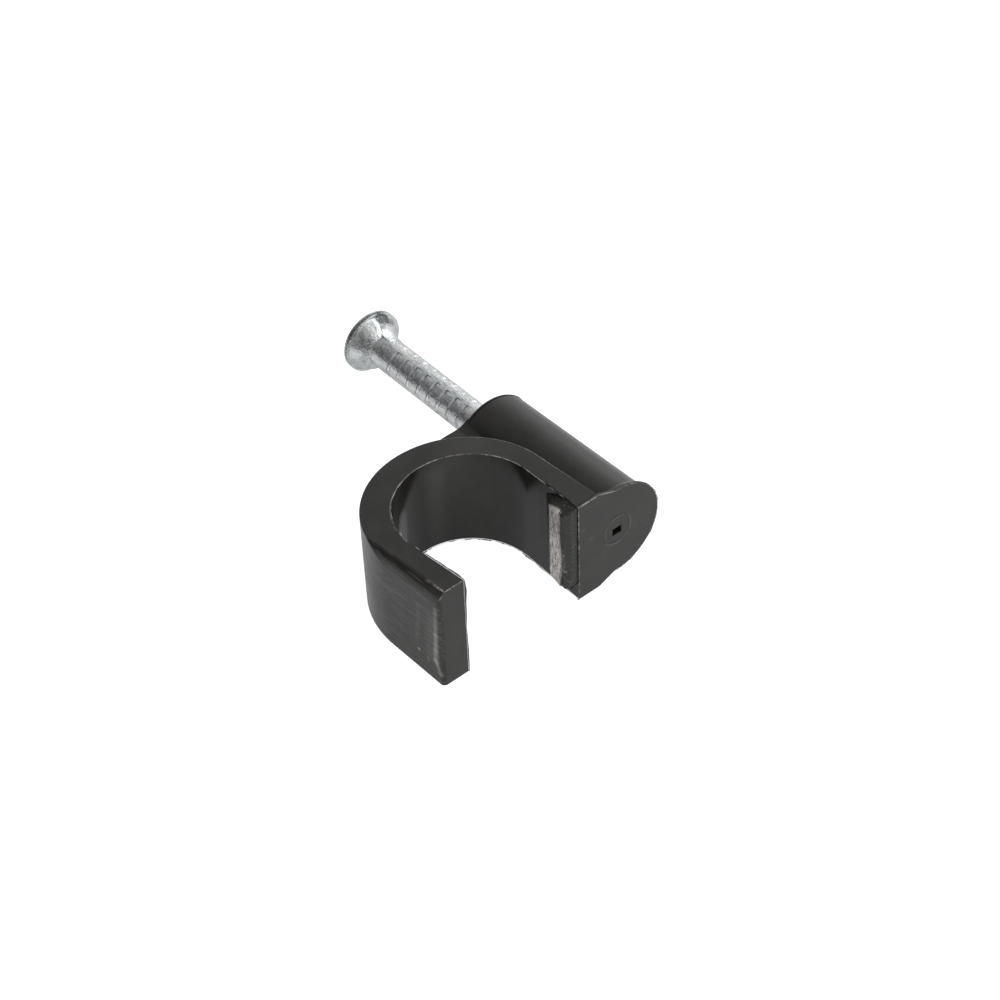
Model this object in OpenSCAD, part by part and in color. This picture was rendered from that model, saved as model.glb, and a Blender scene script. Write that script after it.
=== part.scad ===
// Nail-in cable clip: a moulded hook with a nail boss, and its steel nail.
// The cable lies along Z through the origin. The wall is at minus Y, and the
// nail is driven along minus Y.

/* [Cable seat] */
// Diameter of the cable that the hook closes round
cable_d = 10; // [8:0.5:14]
// Clearance between that cable and the wall
wall_gap = 0.15; // [0:0.05:0.5]

/* [Hook] */
// Width of the hook at the wall
hook_w = 8.5; // [7.5:0.25:12]
// Draft of the hook's two flat sides towards its crown, in degrees
hook_draft = 2; // [0:0.25:4]
// Thickness of the hook at its crown
crown_t = 2; // [1.5:0.05:2.5]
// Thickness of the free arm beside the cable
free_arm_t = 1.9; // [1.5:0.05:2.3]
// Thickness of the boss arm beside the cable
boss_arm_t = 1.55; // [1.2:0.05:1.8]
// Thickness of the boss arm at the wall
foot_t = 1.8; // [1.4:0.05:2.2]
// Thickness of the free arm at its end
free_end_t = 2.1; // [1.6:0.05:2.6]
// How far the free arm's end leans in over the mouth
free_end_in = 0.42; // [0:0.02:0.8]
// Radius of the free end's outer corner
end_r = 0.35; // [0.1:0.05:0.6]
// Radius of the rounded upper edge of the free arm
edge_r = 1.35; // [0.9:0.05:1.8]
// How far that round stands above the upper side at the free end
edge_lift = 0.3; // [0.15:0.05:0.6]
// Angle at which it rises and runs out towards the crown, in degrees
edge_runout = 0.5; // [0:0.5:4]

/* [Nail boss] */
// Distance from the cable to the nail's axis
nail_off = 3.36; // [3.1:0.02:4.2]
// Diameter of the boss at the wall, inside its lip
boss_d = 6.76; // [6:0.02:7.2]
// Draft of the boss towards the nail's head, in degrees
boss_draft = 1.15; // [0:0.05:2]
// How far the boss stands past the crown of the hook
boss_over = 0.88; // [0.6:0.02:3]
// How far the lip at the wall stands out from the boss
lip_out = 0.31; // [0.1:0.01:0.5]
// Thickness of the lip's edge
lip_t = 0.25; // [0.1:0.05:0.6]
// Height of the hollow flare between that edge and the boss
flare_h = 0.6; // [0.3:0.05:1.2]
// Angle round the nail at which the foot's corner runs into the lip, in degrees
foot_join = 92; // [88:1:105]
// Radius of the boss's rounded rim round the nail
rim_r = 0.35; // [0.1:0.05:0.6]

/* [Web] */
// Thickness of the web between the hook and the boss
web_w = 4.1; // [2.5:0.1:5]
// How far the web stays below the boss's end
web_drop = 0.05; // [0.05:0.05:1]
// Distance from the cable's axis at which the web's level edge ends
web_reach = 4.2; // [3.6:0.1:5]
// Radius of the hollow between the web and the boss
web_hollow_r = 2; // [1:0.1:2.5]

/* [Snap rib] */
// Height of the rib above the boss arm's inner face
rib_h = 1; // [0.5:0.05:1.2]
// Width of the lead-in slope on the wall side
rib_lead = 0.53; // [0.3:0.01:1]
// Width of the crest
rib_crest = 1.02; // [0.5:0.01:1.2]
// Width of the slope towards the cable
rib_back = 1.45; // [0.8:0.05:1.6]
// Distance from the wall face to the rib
rib_setback = 0.15; // [0.05:0.05:0.4]
// Distance from the rib's foot to the hook's lower side
rib_low_gap = 0.7; // [0.5:0.05:2]
// Slope of the rib's lower end, in degrees
rib_low_slope = 43; // [10:1:60]
// Radius of that end's corner on the wall side
rib_corner_r = 1; // [0.3:0.05:1.2]
// Distance from the rib's foot to the hook's upper side
rib_high_gap = 0.75; // [0.5:0.05:1.5]
// Tilt of the rib's upper end across the rib, in degrees
rib_tilt = 20; // [10:1:50]
// Slant of that end along the rib's foot, in degrees
rib_slant = 22; // [5:1:30]

/* [Nail] */
// Diameter of the shank
nail_d = 2.5; // [2:0.1:2.8]
// Length from the point to the top of the head
nail_len = 25; // [20:0.5:40]
// Diameter of the head
head_d = 4.75; // [4.5:0.05:6]
// Thickness of the head's rim
head_rim_t = 0.42; // [0.3:0.02:1]
// Rise of the head's crown above its rim
head_crown = 0.15; // [0.05:0.05:0.4]
// Height of the smooth hollow half cone under the head
head_cone_h = 1.95; // [1.4:0.05:3]
// Ledge between the rim and that half cone
head_ledge = 0.26; // [0.14:0.02:0.4]
// Height of the raised half cone, which the gripping die leaves
die_cone_h = 1.16; // [0.7:0.02:1.3]
// How far it stands out over the smooth half at the head
die_cone_out = 0.08; // [0.04:0.01:0.12]
// Height of the steep step at its neck
die_step_h = 0.33; // [0.15:0.01:0.5]
// How far that step stands out from the shank
die_step_out = 0.5; // [0.3:0.05:0.6]
// Length of the point
point_len = 2.6; // [1.5:0.1:4]
// Distance between neighbouring grip marks
grip_pitch = 1; // [0.7:0.05:1.5]
// Depth of a grip mark
grip_depth = 0.08; // [0.03:0.01:0.15]
// Width of a grip mark at the shank's surface
grip_w = 0.26; // [0.15:0.01:0.4]
// Number of grip marks along each side
grip_count = 8; // [4:1:10]

/* [Bore] */
// Radial clearance between the nail and its bore
nail_clear = 0.04; // [0.02:0.01:0.1]
// Plastic left between the bore and the wall, which the nail pierces
membrane_t = 0.8; // [0.5:0.05:1.2]
// Distance from the nail's point to that plastic
tip_gap = 0.7; // [0.3:0.1:2]
// Size along X of the small hole through that plastic
pin_hole_x = 0.78; // [0.4:0.02:1]
// Size along Z of that hole
pin_hole_z = 0.6; // [0.4:0.02:1]
// Depth of the round mark on the wall face where the bore ends
ring_depth = 0.06; // [0.03:0.01:0.15]

/* [Hidden] */
$fn = 96;
cut = 1;
sink = 0.1;
body_color = [0.13, 0.13, 0.14];
nail_color = [0.72, 0.74, 0.76];

seat_r = cable_d / 2;
seat_h = seat_r + wall_gap;
wall_y = -seat_h;
half_w = hook_w / 2;
crown_y = seat_r + crown_t;

// The hook's outer arc passes through the three thicknesses beside the cable
outer_r = seat_r + (free_arm_t + boss_arm_t) / 2;
outer_x = (boss_arm_t - free_arm_t) / 2;
outer_y = crown_y - outer_r;

// The free arm runs from the arc to its end at the wall
free_in_x = -seat_r + free_end_in;
free_out_x = free_in_x - free_end_t;
free_lean = atan2(free_out_x - (outer_x - outer_r), outer_y - wall_y);

nail_x = seat_r + nail_off;
boss_r = boss_d / 2;
boss_len = seat_h + crown_y + boss_over;
boss_back_r = boss_r - boss_len * tan(boss_draft);
lip_r = boss_r + lip_out;
flare_top = lip_t + flare_h;
flare_side = boss_r - flare_top * tan(boss_draft);
flare_out = lip_r - flare_side;
foot_overlap = 1.3;
flare_r = (flare_out * flare_out + flare_h * flare_h) / (2 * flare_out);

web_top_y = wall_y + boss_len - web_drop;
web_corner = [web_reach - outer_x, web_top_y - outer_y];
web_tangent_r = outer_r - sink;
web_angle = atan2(web_corner[1], web_corner[0]) + acos(web_tangent_r / norm(web_corner));

// The hollow's round lies just inside the web and the boss, where it ends
hollow_sink = 0.02;
hollow_z = web_w / 2 + web_hollow_r - hollow_sink;
hollow_off = boss_back_r + web_hollow_r - hollow_sink;
hollow_x = nail_x - sqrt(hollow_off * hollow_off - hollow_z * hollow_z);

rib_foot = 0.4;
rib_y = wall_y + rib_setback;
rib_back_y = rib_y + rib_lead + rib_crest + rib_back;

nail_r = nail_d / 2;
head_r = head_d / 2;
bore_r = nail_r + nail_clear;
bore_end_bevel = 0.5;
tip_h = membrane_t + tip_gap;
under_head = nail_len - head_crown - head_rim_t;
neck_h = under_head - head_cone_h;
neck_step = 0.03;
cone_r = head_r - head_ledge;
cone_hollow_w = cone_r - nail_r - neck_step;
cone_hollow_r = (cone_hollow_w * cone_hollow_w + head_cone_h * head_cone_h) / (2 * cone_hollow_w);
grip_half_angle = 75;
grip_start = 0.75;
crown_r = (head_r * head_r + head_crown * head_crown) / (2 * head_crown);

// Stands a shape drawn along Z up along Y, on the wall
module on_wall() {
    translate([0, wall_y, 0])
        rotate([-90, 0, 0])
            children();
}

// The same at the nail's axis
module on_nail_axis() {
    translate([nail_x, 0, 0])
        on_wall()
            children();
}

// What a round of radius r takes off a square corner at the origin
module corner_cut(r) {
    difference() {
        translate([-cut, -cut])
            square(r + cut);
        translate([r, r])
            circle(r = r);
    }
}

// Cuts the free end's outer corner round, in the plane across the cable
module end_corner_cut() {
    round_x = end_r * (1 - sin(free_lean)) / cos(free_lean);
    translate([free_out_x, wall_y])
        difference() {
            polygon([
                [-cut, -cut],
                [round_x, -cut],
                [round_x, end_r],
                [round_x - (end_r + cut) * cos(free_lean), end_r - (end_r + cut) * sin(free_lean)]
            ]);
            translate([round_x, end_r])
                circle(r = end_r);
        }
}

// The outside of the hook, seen along the cable, with its mouth still closed
module hook_outline() {
    difference() {
        union() {
            translate([outer_x, outer_y])
                intersection() {
                    circle(r = outer_r);
                    translate([-outer_r, 0])
                        square([2 * outer_r, outer_r]);
                }
            polygon([
                [outer_x - outer_r, outer_y],
                [free_out_x, wall_y],
                [seat_r + foot_t, wall_y],
                [outer_x + outer_r, outer_y]
            ]);
        }
        end_corner_cut();
    }
}

// The space between the hook's two drafted flats
module between_flats() {
    top = crown_y + cut;
    top_w = half_w - (top - wall_y) * tan(hook_draft);
    rotate([90, 0, 90])
        linear_extrude(height = 4 * outer_r, center = true)
            polygon([
                [wall_y, -half_w],
                [top, -top_w],
                [top, top_w],
                [wall_y, half_w]
            ]);
}

// What the cable and its way in take out of the hook and the boss
module cable_space() {
    linear_extrude(height = hook_w + 2 * cut, center = true) {
        circle(r = seat_r);
        polygon([
            [-seat_r, 0],
            [free_in_x, wall_y],
            [free_in_x, wall_y - cut],
            [seat_r, wall_y - cut],
            [seat_r, 0]
        ]);
    }
}

// The boss, flared into its lip at the wall and rounded at the nail's side
module boss() {
    on_nail_axis()
        rotate_extrude()
            difference() {
                polygon([
                    [0, 0],
                    [lip_r, 0],
                    [lip_r, flare_top],
                    [flare_side, flare_top],
                    [boss_back_r, boss_len],
                    [0, boss_len]
                ]);
                translate([flare_side + flare_r, flare_top])
                    circle(r = flare_r);
                translate([boss_back_r, boss_len])
                    rotate(180)
                        corner_cut(rim_r);
            }
}

// The thin plate that fills the foot's corners between the arm and the lip
module foot_plate() {
    corner = [seat_r + foot_t, half_w];
    join = [nail_x + lip_r * cos(foot_join), lip_r * sin(foot_join)];
    inside = corner + foot_overlap * (join - corner);
    on_wall()
        linear_extrude(height = lip_t)
            polygon([
                [seat_r, -half_w],
                [corner[0], -corner[1]],
                [inside[0], -inside[1]],
                inside,
                corner,
                [seat_r, half_w]
            ]);
}

// The web fills the corner between the hook's crown and the boss
module web() {
    linear_extrude(height = web_w, center = true)
        difference() {
            translate([outer_x, outer_y])
                polygon([
                    [0, 0],
                    [nail_x - outer_x, 0],
                    [nail_x - outer_x, web_corner[1]],
                    web_corner,
                    web_tangent_r * [cos(web_angle), sin(web_angle)]
                ]);
            circle(r = seat_r + boss_arm_t / 2);
        }
}

// The hollow rounds that lead from the web's two sides up to the boss
module web_hollows() {
    translate([0, web_top_y, 0])
        rotate([90, 0, 0])
            linear_extrude(height = web_top_y)
                for (side = [1, -1])
                    difference() {
                        polygon([
                            [hollow_x, 0],
                            [hollow_x, side * hollow_z],
                            [nail_x, 0]
                        ]);
                        translate([hollow_x, side * hollow_z])
                            circle(r = web_hollow_r);
                    }
}

// Rounds the upper outer edge of the free arm, running out towards the crown
module free_edge_cut() {
    translate([free_out_x, wall_y, half_w])
        rotate([edge_runout - hook_draft, 0, free_lean])
            rotate([-90, 0, 0])
                translate([0, -edge_lift, -cut])
                    linear_extrude(height = crown_y - wall_y + cut)
                        corner_cut(edge_r);
}

// The rib that the cable snaps past, with a sloped lower and a tilted upper end
module snap_rib() {
    low_z = -half_w + rib_low_gap;
    high_z = half_w - (rib_back_y - wall_y) * tan(hook_draft) - rib_high_gap;
    reach = 2 * (rib_h + rib_foot + rib_back_y - rib_y);
    difference() {
        translate([0, 0, low_z])
            linear_extrude(height = half_w - low_z)
                polygon([
                    [seat_r + rib_foot, rib_y],
                    [seat_r, rib_y],
                    [seat_r - rib_h, rib_y + rib_lead],
                    [seat_r - rib_h, rib_y + rib_lead + rib_crest],
                    [seat_r, rib_back_y],
                    [seat_r + rib_foot, rib_back_y]
                ]);
        translate([seat_r, rib_back_y, high_z])
            rotate([-rib_slant, -rib_tilt, 0])
                translate([-reach / 2, -reach / 2, 0])
                    cube(reach);
        translate([seat_r, rib_y, low_z])
            rotate([0, rib_low_slope, 0])
                translate([-reach / 2, -reach / 2, -reach])
                    cube(reach);
        translate([seat_r, rib_y, low_z])
            rotate([90, 0, 90])
                linear_extrude(height = reach, center = true)
                    corner_cut(rib_corner_r);
    }
}

// The blind bore for the nail, with the small hole that its core pin leaves
module nail_bore() {
    bore_end_r = bore_r - bore_end_bevel;
    on_nail_axis() {
        rotate_extrude()
            polygon([
                [0, membrane_t],
                [bore_end_r, membrane_t],
                [bore_r, membrane_t + bore_end_bevel],
                [bore_r, boss_len + cut],
                [0, boss_len + cut]
            ]);
        translate([-pin_hole_x / 2, -pin_hole_z / 2, -cut])
            cube([pin_hole_x, pin_hole_z, cut + membrane_t + sink]);
        translate([0, 0, -cut])
            cylinder(r = bore_r, h = cut + ring_depth);
    }
}

module clip_body() {
    color(body_color)
        difference() {
            union() {
                difference() {
                    union() {
                        intersection() {
                            linear_extrude(height = hook_w, center = true)
                                hook_outline();
                            between_flats();
                        }
                        boss();
                        foot_plate();
                        web();
                        web_hollows();
                    }
                    cable_space();
                    free_edge_cut();
                }
                intersection() {
                    snap_rib();
                    between_flats();
                }
            }
            nail_bore();
        }
}

// The nail's turned form, with its point at the bottom
module nail_blank() {
    rotate_extrude()
        polygon([
            [0, 0],
            [nail_r, point_len],
            [nail_r, under_head],
            [head_r, under_head],
            [head_r, under_head + head_rim_t],
            [0, under_head + head_rim_t]
        ]);
    intersection() {
        translate([0, 0, nail_len - crown_r])
            sphere(r = crown_r);
        translate([0, 0, under_head])
            cylinder(r = head_r, h = head_rim_t + head_crown + cut);
    }
}

// One row of grip marks, which the dies press part of the way round the shank
module grip_marks() {
    for (i = [0 : grip_count - 1])
        translate([0, 0, neck_h - grip_start - i * grip_pitch])
            rotate([0, 0, -grip_half_angle])
                rotate_extrude(angle = 2 * grip_half_angle)
                    polygon([
                        [nail_r - grip_depth, 0],
                        [nail_r + grip_depth, -grip_w],
                        [nail_r + grip_depth, grip_w]
                    ]);
}

// The half of the neck that stays smooth, hollow from the shank to the head
module smooth_half_cone() {
    rotate([0, 0, -90])
        rotate_extrude(angle = 180)
            difference() {
                translate([0, neck_h])
                    square([cone_r, head_cone_h]);
                translate([nail_r + neck_step + cone_hollow_r, neck_h])
                    circle(r = cone_hollow_r);
            }
}

// The other half, which stands out over it where the two dies met
module die_half_cone() {
    foot_h = under_head - die_cone_h;
    rotate([0, 0, 90])
        rotate_extrude(angle = 180)
            polygon([
                [0, foot_h],
                [nail_r, foot_h],
                [nail_r + die_step_out, foot_h + die_step_h],
                [cone_r + die_cone_out, under_head],
                [0, under_head]
            ]);
}

module nail() {
    color(nail_color)
        on_nail_axis()
            translate([0, 0, tip_h])
                difference() {
                    union() {
                        nail_blank();
                        smooth_half_cone();
                        die_half_cone();
                    }
                    for (side = [0, 180])
                        rotate([0, 0, side])
                            grip_marks();
                }
}

clip_body();
nail();
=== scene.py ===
"""A moulded cable clip and its plated nail, dressed for a product picture."""

import math

import bmesh
import bpy
from mathutils import Matrix, Vector, noise


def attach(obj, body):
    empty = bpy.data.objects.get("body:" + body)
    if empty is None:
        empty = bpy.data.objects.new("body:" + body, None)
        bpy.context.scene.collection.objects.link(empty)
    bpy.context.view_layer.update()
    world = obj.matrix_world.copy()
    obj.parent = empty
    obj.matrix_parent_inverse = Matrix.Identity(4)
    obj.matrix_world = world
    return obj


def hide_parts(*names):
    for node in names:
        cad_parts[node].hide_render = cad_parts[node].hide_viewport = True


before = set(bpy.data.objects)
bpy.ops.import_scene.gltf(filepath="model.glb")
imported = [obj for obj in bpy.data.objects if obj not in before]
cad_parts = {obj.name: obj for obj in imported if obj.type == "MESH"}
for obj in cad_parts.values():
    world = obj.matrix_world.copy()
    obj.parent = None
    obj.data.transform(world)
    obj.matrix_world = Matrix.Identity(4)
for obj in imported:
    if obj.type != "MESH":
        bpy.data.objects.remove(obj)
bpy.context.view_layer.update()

bl_info = {
    "name": "Cable Clip",
    "version": (1, 0, 0),
    "blender": (4, 5, 0),
    "location": "3D View > Sidebar > Cable Clip",
    "description": "Dresses a nail-in cable clip: its moulding, flash, torn rib, nail and stage",
    "category": "Object",
}

MM = 0.001

# The part's own measures, in millimetres
SEAT_R = 5.0
WALL_Y = -5.15
HALF_W = 4.25
DRAFT = math.tan(math.radians(2))
# The centre and the radius of the hook's outer arc
OUTER = (-0.175, 0.275)
OUTER_R = 6.725
# The free arm's two sides at the wall, and about where both arms' inner sides are
FREE_OUT_X = -6.68
FREE_IN_X = -4.58
ARM_IN_X = 4.8
# The boss, from the nail's axis, and the lip's far end
NAIL_X = 8.36
BOSS_R = 3.38
BOSS_DRAFT = math.radians(1.15)
LIP_END_X = 12.045
# The round mark on the wall face where the bore ends, and the ring seen in it
BORE_MARK_R = 1.29
BORE_RING_R = 1.15
# The snap rib's height, and where its foot and its crest begin and end
RIB_H = 1.0
RIB_FOOT_Y = (-5.0, -2.0)
RIB_CREST_Y = (-4.47, -3.45)
# The nail's shank, the neck under its head and the first grip mark of its solid
NAIL_R = 1.25
NECK_Y = 18.83
FIRST_GRIP_Y = 18.08
# The first grip mark as it is seen, and the step from each mark to the next
FIRST_MARK_Y = 17.54
MARK_PITCH = 1.085

# How near a place counts as on a flat side or on a round one
ON_FLAT = 0.01
ON_ROUND = 0.02
# How near two vertices are merged, and the bend up to which faces are one flat
MERGED = 0.002
FLAT_BEND = math.radians(0.6)


def half_width(y):
    """Half the hook's width at a height over the wall."""
    return HALF_W - (y - WALL_Y) * DRAFT


def flat_gap(co):
    """How far a place is from the nearer of the hook's two flats."""
    return abs(abs(co.z) - half_width(co.y))


def seat_gap(co):
    """How far a place is from the round of the cable seat."""
    return abs(math.hypot(co.x, co.y) - SEAT_R)


def outer_gap(co):
    """How far a place is from the hook's outer arc."""
    return abs(math.hypot(co.x - OUTER[0], co.y - OUTER[1]) - OUTER_R)


def from_nail_axis(co):
    """How far a place is from the nail's axis."""
    return math.hypot(co.x - NAIL_X, co.z)


def boss_gap(co):
    """How far a place is from the boss's drafted side."""
    return abs(from_nail_axis(co) - BOSS_R + (co.y - WALL_Y) * math.tan(BOSS_DRAFT))


def on_free_side(y, z):
    """A place on the free arm's outer side."""
    lean = (OUTER[1] - y) / (OUTER[1] - WALL_Y)
    top = OUTER[0] - OUTER_R
    return (top + (FREE_OUT_X - top) * lean, y, z)


def on_seat(angle, z):
    """A place on the inner arc, by its angle from the nail's side."""
    turn = math.radians(angle)
    return (SEAT_R * math.cos(turn), SEAT_R * math.sin(turn), z)


def on_wall_face(x, z):
    """A place on the flat face that rests on the wall."""
    return (x, WALL_Y, z)


def on_nail(radius, turn, y):
    """A place on the nail, by its turn from the upper side towards the free arm."""
    angle = math.radians(turn)
    return (NAIL_X - radius * math.sin(angle), y, radius * math.cos(angle))


def between(table, value):
    """Reads a table of steps at a value between them."""
    for (a, low), (b, high) in zip(table, table[1:]):
        if value <= b:
            return low + (high - low) * max(0.0, (value - a) / (b - a))
    return table[-1][1]


def blend(a, b, value):
    """Rises smoothly from 0 at a to 1 at b."""
    share = max(0.0, min(1.0, (value - a) / (b - a)))
    return share * share * (3 - 2 * share)


# -------- mesh tools


# The bend from which an edge is rounded, and the slot that its round is marked by
SHARP = math.radians(28)
ROUNDS = 1
# Small faces that bend by less than this share their normals
SAME_SURFACE = math.cos(math.radians(22))
# A face above the first area is flat, and one below the second counts for less, in mm2
LARGE_FACE = 1.2
SLIVER = 0.004
# How far a round's face looks the way of a flat whose normal it takes up
SAME_WAY = 0.3
# Sums of normals below these lengths are weak, or have no direction
WEAK = 0.1
NONE_LEFT = 1e-6


def to_object():
    """Goes back to object mode."""
    bpy.ops.object.mode_set(mode="OBJECT")


def only(obj):
    """Leaves just this object selected and active."""
    if bpy.context.mode != "OBJECT":
        to_object()
    bpy.ops.object.select_all(action="DESELECT")
    obj.select_set(True)
    bpy.context.view_layer.objects.active = obj


def in_edit(obj, action):
    """Enters edit mode with everything, or nothing, selected."""
    only(obj)
    bpy.ops.object.mode_set(mode="EDIT")
    bpy.ops.mesh.select_mode(type="VERT")
    bpy.ops.mesh.select_all(action=action)


def select_where(obj, kind, test):
    """In edit mode, selects just the edges or the faces that pass a test."""
    bpy.ops.mesh.select_all(action="DESELECT")
    bpy.ops.mesh.select_mode(type=kind)
    bm = bmesh.from_edit_mesh(obj.data)
    for part in (bm.faces if kind == "FACE" else bm.edges):
        part.select_set(test(part))
    bmesh.update_edit_mesh(obj.data)


def add_modifier(obj, kind, **values):
    """Adds a modifier, sets it and applies it."""
    only(obj)
    bpy.ops.object.modifier_add(type=kind)
    modifier = obj.modifiers[-1]
    for key, value in values.items():
        setattr(modifier, key, value)
    bpy.ops.object.modifier_apply(modifier=modifier.name)


def smooth_by_angle(obj, degrees):
    """Shades an object smooth, apart from the edges that bend more than this."""
    only(obj)
    bpy.ops.object.shade_smooth_by_angle(angle=math.radians(degrees))


def millimetre_copy(node_name, name):
    """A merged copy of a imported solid, in millimetres, with its flat faces whole."""
    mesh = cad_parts[node_name].data.copy()
    mesh.materials.clear()
    mesh.transform(Matrix.Scale(1 / MM, 4))
    obj = bpy.data.objects.new(name, mesh)
    bpy.context.scene.collection.objects.link(obj)
    in_edit(obj, "SELECT")
    bpy.ops.mesh.customdata_custom_splitnormals_clear()
    bpy.ops.mesh.remove_doubles(threshold=MERGED)
    bpy.ops.mesh.dissolve_limited(angle_limit=FLAT_BEND)
    to_object()
    return obj


def settle(obj, slot, material, *replaced):
    """Gives a finished piece its material, brings it to metres and ties it to the part."""
    obj.data.materials.clear()
    obj.data.materials.append(material)
    obj.data.transform(Matrix.Scale(MM, 4))
    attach(obj, "root")
    if replaced:
        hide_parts(*replaced)


def bevel_by_weight(obj, width_of, segments):
    """Rounds each sharp edge by its own width, and marks the new faces."""
    mesh = obj.data
    bm = bmesh.new()
    bm.from_mesh(mesh)
    layer = bm.edges.layers.float.new("bevel_weight_edge")
    for edge in bm.edges:
        if len(edge.link_faces) == 2 and edge.calc_face_angle() > SHARP:
            edge[layer] = width_of(edge)
    bm.to_mesh(mesh)
    bm.free()
    while len(mesh.materials) <= ROUNDS:
        mesh.materials.append(None)
    add_modifier(
        obj, "BEVEL", width=1.0, segments=segments, limit_method="WEIGHT", material=ROUNDS,
        use_clamp_overlap=False, miter_outer="MITER_SHARP")


def keep_in_box(obj):
    """Holds a piece of the moulding inside the lip's end, off the wall and in the hook's width."""
    for vert in obj.data.vertices:
        vert.co.x = min(LIP_END_X, vert.co.x)
        vert.co.y = max(WALL_Y, vert.co.y)
        vert.co.z = max(-HALF_W, min(HALF_W, vert.co.z))


def shade_as_built(obj, turned):
    """Sets each corner's normal from the surface that its face is a piece of.

    turned(corners, place) gives the normal at a place on a turned surface, or None.
    Large faces are flat, small ones share normals with their like, and rounds take up theirs.
    """
    mesh = obj.data
    faces = mesh.polygons
    around = [[] for _ in mesh.vertices]
    for face in faces:
        for vert in face.vertices:
            around[vert].append(face.index)
    flats = [Vector(face.normal) for face in faces]
    rounds = [face.material_index == ROUNDS for face in faces]
    places = [Vector(vert.co) for vert in mesh.vertices]
    corners = [[places[vert] for vert in face.vertices] for face in faces]

    def built(index, vert):
        exact = turned(corners[index], places[vert])
        if exact is not None:
            return exact
        if faces[index].area > LARGE_FACE:
            return flats[index]
        total = Vector()
        for other in around[vert]:
            like = not rounds[other] and flats[other].dot(flats[index]) > SAME_SURFACE
            if like and faces[other].area <= LARGE_FACE:
                total += flats[other] * min(1.0, faces[other].area / SLIVER)
        return total.normalized() if total.length > NONE_LEFT else flats[index]

    def rounded(index, vert):
        total = Vector()
        for other in around[vert]:
            if not rounds[other] and flats[other].dot(flats[index]) > SAME_WAY:
                total += built(other, vert)
        if total.length < WEAK:
            for other in around[vert]:
                if rounds[other]:
                    total += flats[other]
        return total.normalized() if total.length > NONE_LEFT else flats[index]

    normals = []
    for face in faces:
        normal_of = rounded if rounds[face.index] else built
        normals.extend(normal_of(face.index, vert) for vert in face.vertices)
    only(obj)
    bpy.ops.object.shade_smooth()
    mesh.normals_split_custom_set(normals)


# -------- node tools


FLOAT, VECTOR = "NodeSocketFloat", "NodeSocketVector"


def node(tree, kind, inputs=None, **values):
    """Adds a node, sets its values and its inputs, which may be links."""
    made = tree.nodes.new(kind)
    for key, value in values.items():
        setattr(made, key, value)
    for key, value in (inputs or {}).items():
        join(tree, value, made.inputs[key])
    return made


def join(tree, value, socket):
    """Links a socket to an input, or sets the input's own value."""
    if isinstance(value, bpy.types.NodeSocket):
        tree.links.new(value, socket)
    else:
        socket.default_value = value


def calc(tree, operation, a, b=0.0, clamp=False):
    """One step of arithmetic on values."""
    made = node(tree, "ShaderNodeMath", {0: a, 1: b}, operation=operation, use_clamp=clamp)
    return made.outputs[0]


def plus(tree, a, b, clamp=False):
    """The sum of two values."""
    return calc(tree, "ADD", a, b, clamp)


def less(tree, a, b):
    """A value with another one taken off."""
    return calc(tree, "SUBTRACT", a, b)


def times(tree, a, b, clamp=False):
    """The product of two values."""
    return calc(tree, "MULTIPLY", a, b, clamp)


def vector_calc(tree, operation, a, b=(0, 0, 0), output="Vector"):
    """One step of arithmetic on vectors."""
    return node(tree, "ShaderNodeVectorMath", {0: a, 1: b}, operation=operation).outputs[output]


def ramp(tree, value, low, high, to_low=0.0, to_high=1.0, smooth=True):
    """Maps a value from one range to another, and holds it at both ends."""
    return node(tree, "ShaderNodeMapRange", {
        "Value": value, "From Min": low, "From Max": high, "To Min": to_low, "To Max": to_high,
    }, interpolation_type="SMOOTHSTEP" if smooth else "LINEAR").outputs[0]


def band(tree, value, middle, outer, inner):
    """A mask round one value, which fades between two distances from it."""
    return ramp(tree, calc(tree, "ABSOLUTE", less(tree, value, middle)), outer, inner)


def mix_colour(tree, factor, a, b):
    """Mixes two colours, each a socket or three numbers."""
    a, b = (end if isinstance(end, bpy.types.NodeSocket) else (*end, 1) for end in (a, b))
    return node(tree, "ShaderNodeMix", {0: factor, 6: a, 7: b}, data_type="RGBA").outputs[2]


def noise_node(tree, vector, scale, detail=2.0, rough=0.5, distortion=0.0):
    """The value of a noise texture."""
    return node(tree, "ShaderNodeTexNoise", {
        "Vector": vector, "Scale": scale, "Detail": detail, "Roughness": rough,
        "Distortion": distortion,
    }).outputs["Fac"]


def scaled(tree, vector, scale):
    """A place in coordinates that are scaled along each axis."""
    return node(tree, "ShaderNodeMapping", {"Vector": vector, "Scale": scale}).outputs[0]


def object_millimetres(tree):
    """The piece's own coordinates in millimetres."""
    return scaled(tree, node(tree, "ShaderNodeTexCoord").outputs["Object"], (1 / MM,) * 3)


def axes(tree, place):
    """The three coordinates of a place."""
    return node(tree, "ShaderNodeSeparateXYZ", {0: place}).outputs


def from_line(tree, place, centre):
    """The distance from a line along Y that passes through the centre."""
    level = vector_calc(tree, "MULTIPLY", place, (1, 0, 1))
    return vector_calc(tree, "DISTANCE", level, centre, "Value")


def bump(tree, height, depth, under=None):
    """The normal of a height, at a depth in millimetres, over another normal if given."""
    inputs = {"Height": height, "Distance": depth * MM, "Strength": 1.0}
    if under is not None:
        inputs["Normal"] = under
    return node(tree, "ShaderNodeBump", inputs).outputs[0]


def new_group(name, inputs, outputs):
    """A shader node group with its named inputs and the values that it puts out."""
    tree = bpy.data.node_groups.new(name, "ShaderNodeTree")
    for label, kind in inputs.items():
        tree.interface.new_socket(label, in_out="INPUT", socket_type=kind)
    for label in outputs:
        tree.interface.new_socket(label, in_out="OUTPUT", socket_type=FLOAT)
    return tree, node(tree, "NodeGroupInput").outputs, node(tree, "NodeGroupOutput").inputs


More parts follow.
